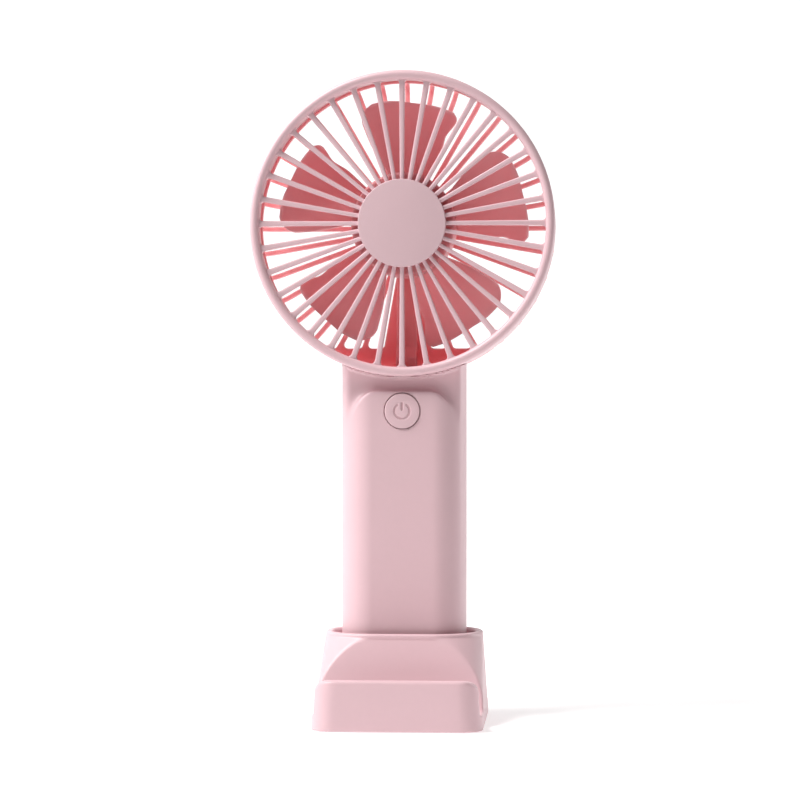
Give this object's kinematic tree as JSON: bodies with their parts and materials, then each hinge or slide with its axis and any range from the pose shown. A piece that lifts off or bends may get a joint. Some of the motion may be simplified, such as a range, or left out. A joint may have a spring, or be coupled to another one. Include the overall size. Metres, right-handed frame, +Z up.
{
  "type": "handheld electric fan",
  "caption": "Battery-powered handheld fan with a round caged head and straight grip, standing in a desk dock with a slot that holds a phone.",
  "frame": {"origin": "on the table, under the middle of the dock", "axes": "+Z up, the front of the fan faces -Y, +X to the right seen from the front"},
  "size_m": [0.1, 0.062, 0.2128],
  "materials": {
    "pink_plastic": "fine satin moulded texture",
    "disc_plastic": "flat matte disc",
    "coral_plastic": "satin moulded coral plastic",
    "rubber": "matt rubber",
    "screw_steel": "zinc plated",
    "can_steel": "drawn and plated",
    "core_steel": "stacked laminations",
    "bush_bronze": "sintered",
    "contact_brass": "stamped",
    "winding_copper": "enamelled copper wire",
    "magnet_black": "ferrite",
    "black_plastic": "moulded",
    "lead_insulation": "wire insulation",
    "board_green": "solder resist",
    "sleeve_film": "heat-shrink film",
    "foam": "soft foam"
  },
  "bodies": {
    "dock": {"dock_body": "pink_plastic", "dock_base_plate": "pink_plastic", "dock_feet": "rubber", "dock_screws": "screw_steel"},
    "fan": {"rear_shell": "pink_plastic", "front_shell": "pink_plastic", "shell_screws": "screw_steel", "rear_guard": "coral_plastic", "motor_can": "can_steel", "motor_end_cap": "black_plastic", "motor_magnets": "magnet_black", "motor_bushes": "bush_bronze", "motor_brushes": "contact_brass", "motor_retainer": "coral_plastic", "motor_screws": "screw_steel", "motor_leads": "lead_insulation", "tact_switch": "can_steel", "circuit_board": "board_green", "board_screws": "screw_steel", "control_chip": "black_plastic", "power_coil": "magnet_black", "board_capacitors": "bush_bronze", "usb_shell": "can_steel", "usb_tongue": "black_plastic", "battery_cell": "can_steel", "battery_sleeve": "sleeve_film", "battery_cap": "can_steel", "cell_board": "board_green", "battery_pads": "foam", "battery_leads": "lead_insulation"},
    "front_guard": {"front_guard": "pink_plastic", "guard_disc": "disc_plastic"},
    "impeller": {"impeller": "coral_plastic", "motor_shaft": "can_steel", "rotor_core": "core_steel", "rotor_windings": "winding_copper", "commutator": "winding_copper"},
    "button": {"power_button": "pink_plastic", "switch_plunger": "black_plastic"}
  },
  "joints": [
    {"name": "fan_lift", "type": "slide", "parent": "dock", "child": "fan", "axis": [0, 0, 1], "range_m": [0, 0.06]},
    {"name": "guard_pull", "type": "slide", "parent": "fan", "child": "front_guard", "axis": [0, -1, 0], "range_m": [0, 0.03]},
    {"name": "impeller_spin", "type": "hinge", "parent": "fan", "child": "impeller", "pos_m": [0, 0.01, 0.1628], "axis": [0, 1, 0], "continuous": true},
    {"name": "button_press", "type": "slide", "parent": "fan", "child": "button", "axis": [0, 1, 0], "range_m": [0, 0.0005], "stiffness_N_per_m": 1500, "springref_m": -0.0005}
  ]
}
